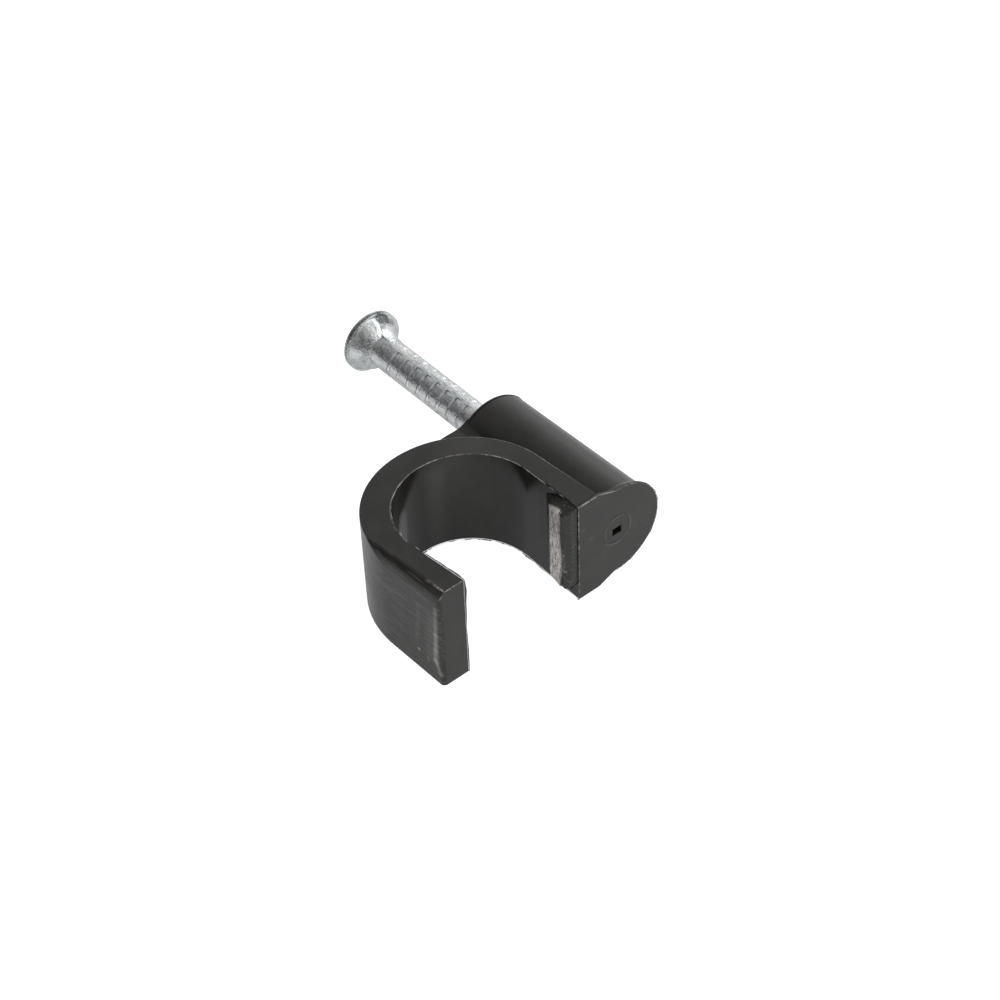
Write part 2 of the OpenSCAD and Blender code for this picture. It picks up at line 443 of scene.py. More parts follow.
def use_group(tree, name, **inputs):
    """Places a node group. An underscore stands for a space in the name of an input."""
    made = tree.nodes.new("ShaderNodeGroup")
    made.node_tree = bpy.data.node_groups[name]
    for key, value in inputs.items():
        join(tree, value, made.inputs[key.replace("_", " ")])
    return made.outputs


def make_line_mark():
    """A soft mark along a straight line between two places."""
    tree, given, result = new_group("line_mark", {
        "Place": VECTOR, "Start": VECTOR, "End": VECTOR, "Width": FLOAT, "Core": FLOAT}, ("Mask",))
    along = vector_calc(tree, "SUBTRACT", given["End"], given["Start"])
    from_start = vector_calc(tree, "SUBTRACT", given["Place"], given["Start"])
    share = calc(
        tree, "DIVIDE", vector_calc(tree, "DOT_PRODUCT", from_start, along, "Value"),
        vector_calc(tree, "DOT_PRODUCT", along, along, "Value"), clamp=True)
    foot = node(tree, "ShaderNodeVectorMath", {0: along, "Scale": share}, operation="SCALE")
    away = vector_calc(tree, "DISTANCE", from_start, foot.outputs[0], "Value")
    join(tree, ramp(tree, away, given["Width"], given["Core"]), result["Mask"])


def make_mottle():
    """Uneven tone at two scales, for a mass that was moulded, torn or plated."""
    tree, given, result = new_group("mottle", {
        "Place": VECTOR, "Cloud Scale": FLOAT, "Grain Scale": FLOAT}, ("Cloud", "Grain"))
    for label, detail, rough in (("Cloud", 3.0, 0.55), ("Grain", 4.0, 0.65)):
        tone = noise_node(tree, given["Place"], given[label + " Scale"], detail, rough)
        join(tree, ramp(tree, tone, 0.3, 0.7), result[label])


def marks(tree, place, rows):
    """Adds up line marks: each row is start, end, outer width, core width and strength."""
    total = 0.0
    for start, end, width, core, strength in rows:
        mark = use_group(
            tree, "line_mark", Place=place, Start=start, End=end, Width=width, Core=core)
        total = plus(tree, total, times(tree, mark["Mask"], strength))
    return total


def new_material(name):
    """An empty material, with its node tree and its shader."""
    material = bpy.data.materials.new(name)
    material.use_nodes = True
    tree = material.node_tree
    tree.nodes.clear()
    output = node(tree, "ShaderNodeOutputMaterial")
    shader = node(tree, "ShaderNodeBsdfPrincipled")
    tree.links.new(shader.outputs[0], output.inputs["Surface"])
    return material, tree, shader


# -------- materials


def marks_on(surface, rows):
    """Rows of marks, with both ends of each one brought onto a surface."""
    return tuple((surface(*start), surface(*end), *rest) for start, end, *rest in rows)


# The marks are rows of start, end, outer width, core width and strength, in millimetres.
# Pale scuffs and scratches on the free arm's outer side. The scuffs close to the free end are
# mostly a painted highlight: a bright streak where the side rounds into the end face.
ARM_SCUFFS_AND_HIGHLIGHT = marks_on(on_free_side, (
    ((-4.72, 2.67), (-4.62, 0.24), 0.3, 0.02, 0.45),
    ((-4.62, 0.24), (-4.55, -1.2), 0.3, 0.02, 0.75),
    ((-4.55, -1.2), (-4.47, -2.3), 0.34, 0.02, 0.7),
    ((-4.5, -2.2), (-4.86, -3.3), 0.3, 0.02, 0.6),
    ((-4.35, 1.6), (-4.1, -2.2), 0.9, 0.05, 0.16),
    ((-3.08, 1.9), (-2.7, -1.64), 0.3, 0.02, 0.1),
    ((-2.8, -2.34), (-2.9, -2.36), 0.13, 0.05, 1.2),
    ((-3.7, -2.5), (-3.72, -3.0), 0.1, 0.02, 0.35),
))
ARM_SCRATCHES = marks_on(on_free_side, (
    ((1.5, 2.63), (-1.36, 1.99), 0.07, 0.01, 0.2),
    ((1.0, 2.2), (-2.1, 1.5), 0.09, 0.01, 0.15),
    ((1.7, 1.7), (-1.0, 1.05), 0.07, 0.01, 0.13),
    ((0.4, 1.2), (-2.6, 0.55), 0.1, 0.01, 0.11),
    ((1.2, 0.55), (-1.5, 0.0), 0.07, 0.01, 0.1),
))
# Pale scuffs on the wall face and on the rib's lead-in, and painted reflections in the seat: pale
# bands down its round
WALL_SCUFFS = marks_on(on_wall_face, (
    ((5.3, 1.9), (5.55, 2.0), 0.08, 0.01, 0.16),
    ((6.05, 0.78), (6.2, 0.75), 0.08, 0.01, 0.16),
    ((9.5, -2.3), (9.66, -2.4), 0.07, 0.01, 0.08),
))
SEAT_PAINTED_REFLECTIONS = marks_on(on_seat, (
    ((113, 0.9), (113, -3.3), 0.75, 0.25, 0.2),
    ((77, 2.6), (77, -3.2), 1.15, 0.1, 0.08),
    ((48, 2.6), (48, -3.3), 3.8, 0.6, 0.04),
))
RIB_SCUFFS = (
    ((4.1, -4.6, -1.2), (4.1, -4.8, -1.3), 0.22, 0.03, 0.35),
    ((4.1, -4.62, 0.6), (4.1, -4.7, -0.9), 0.2, 0.03, 0.12),
)
# Painted shade and painted highlights at the steps and dents that the dies left in the zinc of the
# nail's head
NAIL_PAINTED_SHADE = marks_on(on_nail, (
    ((2.02, -12, 20.64), (1.68, -11, 20.17), 0.07, 0.02, 0.9),
    ((1.68, -11, 20.17), (1.33, -3, 19.66), 0.07, 0.02, 0.9),
    ((1.3, 0, 19.5), (1.29, 14, 19.5), 0.09, 0.02, 0.8),
    ((2.1, -18, 20.7), (1.95, -34, 20.6), 0.46, 0.25, 1.1),
    ((1.95, -34, 20.6), (1.9, -58, 20.56), 0.36, 0.12, 0.8),
    ((1.9, -20, 20.48), (1.65, -19, 20.15), 0.34, 0.14, 0.8),
    ((1.7, -26, 20.28), (1.66, -44, 20.22), 0.06, 0.02, 0.7),
    ((1.55, -30, 20.02), (1.5, -45, 19.98), 0.05, 0.02, 0.45),
    ((2.05, 36, 20.5), (1.84, 46, 20.12), 0.32, 0.05, 0.4),
    ((1.85, 46, 20.12), (1.75, 58, 20.0), 0.24, 0.04, 0.35),
))
NAIL_PAINTED_HIGHLIGHTS = marks_on(on_nail, (
    ((2.18, 8, 20.77), (2.17, 33, 20.74), 0.09, 0.04, 0.9),
    ((2.37, 37, 20.83), (2.37, 62, 20.8), 0.09, 0.04, 1.0),
    ((2.12, 38, 20.7), (2.3, 39, 20.84), 0.08, 0.03, 0.8),
    ((2.1, 1, 20.73), (1.92, -2, 20.52), 0.11, 0.05, 1.0),
    ((1.92, -2, 20.52), (1.6, 0, 20.08), 0.11, 0.05, 1.0),
    ((1.6, 0, 20.08), (1.33, 7, 19.68), 0.12, 0.05, 1.0),
    ((1.36, 34, 19.7), (1.32, 66, 19.68), 0.14, 0.08, 1.0),
    ((1.75, 46, 20.02), (1.46, 50, 19.78), 0.24, 0.12, 0.9),
    ((1.85, 14, 20.25), (1.5, 20, 19.85), 0.3, 0.1, 0.6),
))
# The painted shade on the outlines and the painted highlights on the inner sides of one grip mark,
# about the mark's own place
GRIP_PAINTED_SHADE = marks_on(on_nail, (
    ((NAIL_R, 21, 0.02), (NAIL_R, 11, -0.06), 0.09, 0.04, 1.0),
    ((NAIL_R, 11, -0.06), (NAIL_R, 10, -0.34), 0.075, 0.03, 0.7),
    ((NAIL_R, 64, 0.12), (NAIL_R, 90, 0.18), 0.075, 0.03, 0.65),
    ((NAIL_R, 66, -0.13), (NAIL_R, 72, -0.15), 0.1, 0.04, 0.65),
))
GRIP_PAINTED_HIGHLIGHTS = marks_on(on_nail, (
    ((NAIL_R, 17, -0.16), (NAIL_R, 17, -0.6), 0.13, 0.03, 0.7),
    ((NAIL_R, 68, 0.0), (NAIL_R, 86, 0.04), 0.12, 0.05, 1.0),
))
# How far a grip mark's own stretch of the shank reaches above its place
MARK_ABOVE = 0.4
# The middle of the head's rim
RIM_Y = 20.95
# How rough the seat is, and how far the ring in the wall face counts in its bump
SEAT_ROUGHNESS = 0.12
RING_WEIGHT = 5.0


def plastic_material(colours):
    """Black moulded plastic: satin outside, polished in the seat, scuffed and abraded at its edges.
    Its pale tone also paints highlights on the free arm and reflections in the seat.
    """
    material, tree, shader = new_material("black_plastic")
    place = object_millimetres(tree)
    x, y, z = axes(tree, place)
    cloud, grain = use_group(tree, "mottle", Place=place, Cloud_Scale=0.5, Grain_Scale=8.0)
    base = mix_colour(tree, cloud, colours.plastic_dark, colours.plastic_light)

    # Pale abraded edges, broken up by patches; along the hook's outer edge on the boss arm this is
    # a painted highlight line
    worn_and_highlit = node(tree, "ShaderNodeAttribute", attribute_name="worn_and_highlit").outputs["Fac"]
    patchy = ramp(tree, noise_node(tree, place, 2.6, 4.0, 0.7), 0.4, 0.62, 0.12, 1.0)
    wear_and_highlight = times(tree, worn_and_highlit, patchy)

    # Streaks, scuffs and scratches on the free arm with a painted highlight by its end, scuffs on
    # the wall face and painted reflections in the seat
    streaky = noise_node(tree, scaled(tree, place, (4.0, 0.45, 5.5)), 1.0, 5.0, 0.6)
    arm = times(tree, ramp(tree, x, -6.2, -6.6), ramp(tree, y, 2.6, 0.9))
    brushed = times(tree, arm, ramp(tree, streaky, 0.46, 0.72, 0.0, 0.16))
    # The free arm's scuffs and its painted highlight by the end, broken up by the streaks
    rubbed_and_highlit = times(
        tree, marks(tree, place, ARM_SCUFFS_AND_HIGHLIGHT), ramp(tree, streaky, 0.36, 0.56, 0.45, 1.05))
    scuffs_and_sheen = plus(tree, plus(tree, rubbed_and_highlit, marks(tree, place, WALL_SCUFFS + SEAT_PAINTED_REFLECTIONS)), brushed)
    scratches = times(tree, marks(tree, place, ARM_SCRATCHES), ramp(tree, streaky, 0.3, 0.6))
    pale = plus(tree, plus(tree, scuffs_and_sheen, scratches), wear_and_highlight, clamp=True)
    join(tree, mix_colour(tree, pale, base, colours.scuff_and_sheen), shader.inputs["Base Color"])

    # The seat is as smooth as the core that moulded it
    radius = calc(tree, "SQRT", plus(tree, times(tree, x, x), times(tree, y, y)))
    seat = times(tree, ramp(tree, radius, 5.25, 5.1), ramp(tree, y, -1.5, -0.5))
    satin = plus(tree, ramp(tree, cloud, 0, 1, 0.2, 0.25), ramp(tree, grain, 0, 1, 0.0, 0.05))
    rough = node(
        tree, "ShaderNodeMix", {0: seat, 2: satin, 3: SEAT_ROUGHNESS}, data_type="FLOAT").outputs[0]
    join(tree, plus(tree, rough, times(tree, pale, 0.25)), shader.inputs["Roughness"])

    # The broken ring that the bore's pin left in the wall face, and a slow wave all over
    off_axis = from_line(tree, place, (NAIL_X, 0, 0.12))
    ring = times(tree, band(tree, off_axis, BORE_RING_R, 0.17, 0.0), ramp(tree, y, -4.9, -5.05))
    broken = ramp(tree, noise_node(tree, place, 1.1, 3.0, 0.6), 0.4, 0.6, 0.15, 1.0)
    wave = noise_node(tree, place, 0.5, 1.0)
    height = plus(tree, wave, times(tree, times(tree, ring, broken), RING_WEIGHT))
    coarse = bump(tree, height, 0.008)
    join(tree, bump(tree, grain, 0.0012, coarse), shader.inputs["Normal"])
    return material


def flash_material(colours):
    """The same plastic where it is thin, torn and whitened."""
    material, tree, shader = new_material("flash_plastic")
    place = object_millimetres(tree)
    cloud, grain = use_group(tree, "mottle", Place=place, Cloud_Scale=1.6, Grain_Scale=9.0)
    tone = times(tree, ramp(tree, cloud, 0.2, 0.75, 0.12, 1.0), ramp(tree, grain, 0, 1, 0.3, 1.0))
    tone = times(tree, tone, ramp(tree, axes(tree, place)["Y"], -4.6, -3.4, 0.15, 1.0))
    mixed = mix_colour(tree, tone, colours.plastic_dark, colours.flash)
    join(tree, mixed, shader.inputs["Base Color"])
    join(tree, ramp(tree, grain, 0, 1, 0.3, 0.45), shader.inputs["Roughness"])
    return material


def torn_material(colours):
    """The rib's plastic, torn into pale fibres on its crest as the mould opened."""
    material, tree, shader = new_material("torn_plastic")
    place = object_millimetres(tree)
    x, y, z = axes(tree, place)
    fibres = noise_node(tree, scaled(tree, place, (7, 7, 1.1)), 1.3, 6.0, 0.75, 0.5)
    cloud, grain = use_group(tree, "mottle", Place=place, Cloud_Scale=1.1, Grain_Scale=7.0)

    # Pale fibres on the crest, smudges on the lead-in and specks all over
    crest = times(tree, ramp(tree, x, 4.4, 4.15), ramp(tree, y, -4.42, -4.3))
    crest = times(tree, crest, ramp(tree, z, 2.2, 0.8, 0.6, 1.0))
    tone = times(
        tree, ramp(tree, fibres, 0.38, 0.53, 0.25, 1.05),
        ramp(tree, grain, 0, 0.8, 0.6, 1.0))
    smudge = times(tree, marks(tree, place, RIB_SCUFFS), grain)
    specks = times(tree, ramp(tree, grain, 0.75, 1.0), 0.1)
    pale = plus(tree, times(tree, tone, crest), plus(tree, smudge, specks), clamp=True)
    base = mix_colour(tree, cloud, colours.plastic_dark, colours.plastic_light)
    join(tree, mix_colour(tree, pale, base, colours.torn), shader.inputs["Base Color"])
    rough = plus(tree, ramp(tree, cloud, 0, 1, 0.25, 0.32), times(tree, pale, 0.3))
    join(tree, rough, shader.inputs["Roughness"])

    height = plus(tree, times(tree, fibres, crest), times(tree, grain, 0.2))
    join(tree, bump(tree, height, 0.03), shader.inputs["Normal"])
    return material


def zinc_material(colours):
    """Bright zinc plate over a cold-formed nail, with painted shade and painted highlights at the
    dies' marks.
    """
    material, tree, shader = new_material("zinc_plate")
    place = object_millimetres(tree)
    x, y, z = axes(tree, place)
    drawn = scaled(tree, place, (1, 0.5, 1))
    cloud, grain = use_group(tree, "mottle", Place=drawn, Cloud_Scale=2.2, Grain_Scale=7.5)
    tone = plus(tree, times(tree, cloud, 0.5), times(tree, grain, 0.5))
    plate = mix_colour(tree, tone, colours.zinc_dark, colours.zinc_light)
    patchy = ramp(tree, grain, 0.1, 0.7, 0.45, 1.0)

    # The grip marks' painted shade and highlights are all drawn about one place, each with its own
    # strength
    along = less(tree, y, FIRST_MARK_Y)
    on_mark = node(tree, "ShaderNodeMath", {
        0: along, 1: MARK_ABOVE, 2: MARK_ABOVE - MARK_PITCH}, operation="WRAP").outputs[0]
    mark_place = node(tree, "ShaderNodeCombineXYZ", {0: x, 1: on_mark, 2: z}).outputs[0]
    number = less(tree, along, on_mark)
    random = node(tree, "ShaderNodeTexWhiteNoise", {"W": number}, noise_dimensions="1D").outputs[0]
    depth = times(tree, ramp(tree, random, 0, 1, 0.5, 1.1), ramp(tree, y, 18.1, 17.9))

    # Adds up the painted light of the head's rows and of every grip mark
    def painted_die_light(head_rows, grip_rows):
        grips = times(tree, marks(tree, mark_place, grip_rows), depth)
        return plus(tree, marks(tree, place, head_rows), grips)

    bright = times(tree, painted_die_light(NAIL_PAINTED_HIGHLIGHTS, GRIP_PAINTED_HIGHLIGHTS), patchy, clamp=True)
    painted_shade = painted_die_light(NAIL_PAINTED_SHADE, GRIP_PAINTED_SHADE)

    # A painted dark reflection in a band round the head's rim, on its upper side
    upper = ramp(tree, less(tree, z, times(tree, less(tree, x, NAIL_X), 0.6)), 0.2, 1.6)
    painted_rim_shade = times(tree, band(tree, y, RIM_Y, 0.17, 0.06), upper)
    painted_rim_shade = times(tree, painted_rim_shade, ramp(tree, from_line(tree, place, (NAIL_X, 0, 0)), 2.27, 2.34))
    # The painted shade and the rim's painted dark reflection, broken up by the grain
    painted_dark = times(tree, plus(tree, painted_shade, times(tree, painted_rim_shade, 0.9)), patchy, clamp=True)

    # The painted highlights turn the plate white
    plate = mix_colour(tree, bright, plate, (1, 1, 1))
    join(tree, mix_colour(tree, painted_dark, plate, colours.zinc_painted_shade), shader.inputs["Base Color"])
    shader.inputs["Metallic"].default_value = 1.0
    rough = plus(tree, ramp(tree, grain, 0, 1, 0.08, 0.2), times(tree, painted_dark, 0.2))
    join(tree, rough, shader.inputs["Roughness"])
    coarse = bump(tree, cloud, 0.014)
    join(tree, bump(tree, grain, 0.009, coarse), shader.inputs["Normal"])
    return material


# -------- settings


def length(name, what, default, high):
    """A length that the panel offers."""
    return bpy.props.FloatProperty(
        name=name, description=what + ", in millimetres", default=default,
        min=0.0, max=high, precision=3)


def colour(name, description, default):
    """A colour that the panel offers."""
    return bpy.props.FloatVectorProperty(
        name=name, description=description, subtype="COLOR", size=3, default=default, min=0, max=1)


class ClipSizes(bpy.types.PropertyGroup):
    """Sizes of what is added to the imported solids"""
    edge_round: length("Edge round", "Radius of the moulding's small edges", 0.06, 0.12)
    outer_round: length("Outer round", "Radius of the hook's two outer edges", 0.13, 0.2)
    nail_round: length("Nail round", "Radius of the nail's edges", 0.03, 0.06)
    flash_height: length("Flash height", "How far the moulding's flash stands out", 0.11, 0.2)
    tear_height: length("Tear height", "Relief of the torn skin on the rib's crest", 0.08, 0.2)


class ClipColours(bpy.types.PropertyGroup):
    """Tones of the clip's materials and of the table"""
    plastic_dark: colour(
        "Plastic, dark", "Darker tone of the black plastic", (0.0084, 0.0079, 0.0068))
    plastic_light: colour(
        "Plastic, light", "Lighter tone of the black plastic", (0.0138, 0.013, 0.0115))
    # The pale tone of the scuffs and abraded edges, which also paints the highlights on the free
    # arm and its outer edge and the reflections in the seat
    scuff_and_sheen: colour("Scuff", "Tone of the scuffed and worn plastic", (0.32, 0.31, 0.3))
    flash: colour("Flash", "Tone of the thin flash on the moulding's edges", (0.36, 0.345, 0.33))
    torn: colour("Torn plastic", "Tone of the torn fibres on the rib's crest", (0.74, 0.7, 0.67))
    zinc_dark: colour("Zinc, dark", "Darker tone of the nail's zinc plate", (0.44, 0.48, 0.495))
    zinc_light: colour("Zinc, light", "Lighter tone of the nail's zinc plate", (0.93, 0.94, 0.94))
    # The tone of the painted shade on the nail's die marks and its rim
    zinc_painted_shade: colour(
        "Zinc, dull", "Tone of the dies' dull marks in the zinc plate", (0.12, 0.13, 0.13))
    floor: colour("Floor", "Tone of the table under the clip", (0.44, 0.44, 0.44))


# -------- moulding


# How far the bore's edges at the wall are rounded, and the share that inner edges get
BORE_ROUND = 0.02
INNER_SHARE = 0.7
# How near a rounded edge is to the edge that it was made from
ROUND_REACH = 0.15
# The cuts in each facet of the seat, and in each edge that the flash is drawn from
SEAT_CUTS = 3
FLASH_CUTS = 7
FLASH_THICKNESS = 0.045
# The height of the burr on the free arm's inner edge, its place and how far it reaches
BURR = 0.13
BURR_Y = -3.95
BURR_REACH = 0.5


def on_seat_round(co):
    """Whether a place is on the round of the cable seat."""
    return co.y > -0.05 and seat_gap(co) < ON_ROUND


def on_seat_edge(co):
    """Whether a place is on the inner edge of one of the hook's two flats."""
    on_inner = seat_gap(co) < ON_ROUND if co.y > 0 else abs(abs(co.x) - ARM_IN_X) < 0.25
    return flat_gap(co) < ON_FLAT and on_inner


def on_mouth_edge(co):
    """Whether a place is on the free end's edge over the mouth."""
    return abs(co.y - WALL_Y) < ON_FLAT and abs(co.x - FREE_IN_X) < ON_ROUND


def on_lip_edge(co):
    """Whether a place is on the round lip's edge at the wall."""
    return abs(co.y - WALL_Y) < ON_FLAT and co.x > 6.9 and from_nail_axis(co) > 3.3


class ClipMoulding(bpy.types.Operator):
    """Rounds the moulded hook's edges and draws out its flash"""
    bl_idname = "cable_clip.moulding"
    bl_label = "Moulding"

    def execute(self, context):
        sizes = context.scene.clip_sizes
        colours = context.scene.clip_colours
        body = millimetre_copy("clip_body", "clip_moulding")
        flash = self.flash(body, sizes)
        self.level(body)
        self.refine_seat(body)
        bevel_by_weight(body, lambda edge: self.edge_width(edge, sizes), 3)
        keep_in_box(body)
        self.wear_and_highlight(body)
        shade_as_built(body, self.turned)
        settle(body, "clip_plastic", plastic_material(colours), "clip_body")
        settle(flash, "clip_plastic", flash_material(colours))
        return {"FINISHED"}

    def edge_width(self, edge, sizes):
        """How far an edge of the moulding is rounded, by where it is."""
        a, b = (vert.co for vert in edge.verts)
        middle = (a + b) / 2
        # The bore's end and the hole through it
        if middle.y < -4.3 and from_nail_axis(middle) < 1.5:
            return BORE_ROUND
        if not edge.is_convex:
            return INNER_SHARE * sizes.edge_round
        if outer_gap(middle) < 0.03 and flat_gap(middle) < ON_ROUND:
            return sizes.outer_round
        return sizes.edge_round

    def level(self, body):
        """Levels the rib, which is its own torn piece, and the bore's mark on the wall face."""
        for vert in body.data.vertices:
            x, y, z = vert.co
            if 3.9 < x < SEAT_R and RIB_FOOT_Y[0] - ON_ROUND < y < RIB_FOOT_Y[1] + ON_ROUND:
                vert.co.x = SEAT_R
            if y < WALL_Y + 0.09 and from_nail_axis(vert.co) < BORE_MARK_R + ON_ROUND:
                vert.co.y = WALL_Y
        in_edit(body, "SELECT")
        bpy.ops.mesh.remove_doubles(threshold=MERGED)
        select_where(body, "FACE", lambda face: all(
            abs(vert.co.x - SEAT_R) < ON_FLAT and vert.co.y < 0.05 for vert in face.verts))
        bpy.ops.mesh.delete(type="FACE")
        bpy.ops.mesh.select_mode(type="EDGE")
        bpy.ops.mesh.select_non_manifold()
        bpy.ops.mesh.fill_holes(sides=0)
        bpy.ops.mesh.select_all(action="SELECT")
        bpy.ops.mesh.dissolve_limited(angle_limit=FLAT_BEND)
        to_object()

    def refine_seat(self, body):
        """Cuts the seat's facets finer and brings them onto the true round."""
        def across_facet(edge):
            a, b = (vert.co for vert in edge.verts)
            level = abs(a.z - b.z) < 0.1 and (a - b).length > 0.2
            return level and on_seat_round(a) and on_seat_round(b)

        in_edit(body, "DESELECT")
        select_where(body, "EDGE", across_facet)
        bpy.ops.mesh.subdivide(number_cuts=SEAT_CUTS)
        to_object()
        for vert in body.data.vertices:
            if on_seat_round(vert.co):
                share = SEAT_R / math.hypot(vert.co.x, vert.co.y)
                vert.co.x *= share
                vert.co.y *= share

    def wear_and_highlight(self, body):
        """Stores how pale each rounded edge is from abrasion, and the painted highlight line on the
        hook's outer edge.
        """
        mesh = body.data
        layer = mesh.attributes.new("worn_and_highlit", "FLOAT", "CORNER")
        for face in mesh.polygons:
            if face.material_index == ROUNDS:
                for loop in face.loop_indices:
                    co = mesh.vertices[mesh.loops[loop].vertex_index].co
                    layer.data[loop].value = self.worn_and_highlit(co)

    def worn_and_highlit(self, co):
        """How pale a rounded edge is at a place: most at the wall, on the free end's side. On the
        hook's outer edge by the boss arm it is a painted highlight line.
        """
        if co.y < WALL_Y + 0.1 and from_nail_axis(co) > 1.6:
            return 0.85 if co.x < 0 else 0.75 if co.z > 0 else 0.35
        if flat_gap(co) < ROUND_REACH:
            if outer_gap(co) < ROUND_REACH:
                # A painted highlight: the light line along the hook's outer edge on the boss arm
                return 0.45 if co.x > 0 else 0.08
            if seat_gap(co) < ROUND_REACH and co.y > 0:
                return 0.45
        return 0.0

    def turned(self, corners, place):
        """The exact normal on the seat, the hook's outside and the boss."""
        if all(on_seat_round(co) for co in corners):
            return Vector((-place.x, -place.y, 0)).normalized()
        if all(co.y > OUTER[1] - 0.05 and outer_gap(co) < ON_ROUND for co in corners):
            return Vector((place.x - OUTER[0], place.y - OUTER[1], 0)).normalized()
        if all(boss_gap(co) < ON_ROUND for co in corners):
            out = Vector((place.x - NAIL_X, 0, place.z)).normalized()
            rise = Vector((0, math.sin(BOSS_DRAFT), 0))
            return (out * math.cos(BOSS_DRAFT) + rise).normalized()
        return None

    def parting(self, edge):
        """Whether the mould's halves met at an edge."""
        a, b = (vert.co for vert in edge.verts)
        if any(test(a) and test(b) for test in (on_mouth_edge, on_lip_edge)):
            return True
        # Both ends are on one flat, so no edge across the width is taken
        return a.z * b.z > 0 and on_seat_edge(a) and on_seat_edge(b)

    def flash(self, body, sizes):
        """Draws ragged flash out of the edges where the mould's halves met."""
        in_edit(body, "DESELECT")
        select_where(body, "EDGE", self.parting)
        bpy.ops.mesh.duplicate()
        bpy.ops.mesh.separate(type="SELECTED")
        to_object()
        flash = next(obj for obj in bpy.context.selected_objects if obj is not body)
        flash.name = flash.data.name = "mould_flash"
        in_edit(flash, "SELECT")
        bpy.ops.mesh.subdivide(number_cuts=FLASH_CUTS)
        bpy.ops.mesh.select_mode(type="EDGE")
        bpy.ops.mesh.select_all(action="SELECT")
        bpy.ops.mesh.extrude_region_move(TRANSFORM_OT_translate={"value": (0, 0, 0)})
        bm = bmesh.from_edit_mesh(flash.data)
        for vert in bm.verts:
            if vert.select:
                vert.co += self.flash_reach(vert.co, sizes.flash_height)
        bmesh.update_edit_mesh(flash.data)
        to_object()
        add_modifier(flash, "SOLIDIFY", thickness=FLASH_THICKNESS, offset=0.0)
        keep_in_box(flash)
        smooth_by_angle(flash, 40)
        return flash

    def flash_reach(self, co, height):
        """How far and which way the flash stands out at a place on an edge."""
        ragged = noise.noise(co * 1.7) + 0.6 * noise.noise(co * 6.0)
        height *= max(0.1, 0.5 + 1.1 * ragged)
        if on_mouth_edge(co):
            return Vector((1.3 * height, 0.3 * height, 0))
        if on_lip_edge(co):
            out = Vector((co.x - NAIL_X, 0, co.z)).normalized()
            return 0.5 * height * out
        side = 1 if co.z > 0 else -1
        if co.y > 0:
            inward = Vector((-co.x, -co.y, 0)).normalized()
            return height * (0.5 * inward + Vector((0, 0, 0.6 * side)))
        inward = Vector((-1 if co.x > 0 else 1, 0, 0))
        if co.x < 0 and co.z > 0:
            burr = max(0.0, 1 - abs(co.y - BURR_Y) / BURR_REACH)
            return height * (0.8 * inward + Vector((0, 0, 0.4))) + BURR * burr * inward
        return height * (0.55 * inward + Vector((0, 0, 0.5 * side)))


# -------- snap rib


# The grid's cells across the rib and along it
RIB_CELLS = (76, 150)
# How the cells are spread: shares of the grid, and the places that they stand for
RIB_ACROSS = ((0.0, -5.06), (0.1, -4.99), (0.42, -4.55), (0.78, -3.4), (1.0, -1.9))
RIB_ALONG = ((0.0, -3.75), (0.2, -2.3), (0.8, 3.2), (1.0, 4.24))
RIB_THICKNESS = 0.08
# How far the skin's border goes in under the boss arm's side
RIB_SUNK = -0.05
# Where the tear runs between the crest and the lead-in, as place along the cable and height
TEAR_LINE = ((-3.0, -4.46), (-0.5, -4.35), (1.0, -4.22), (4.0, -4.23))


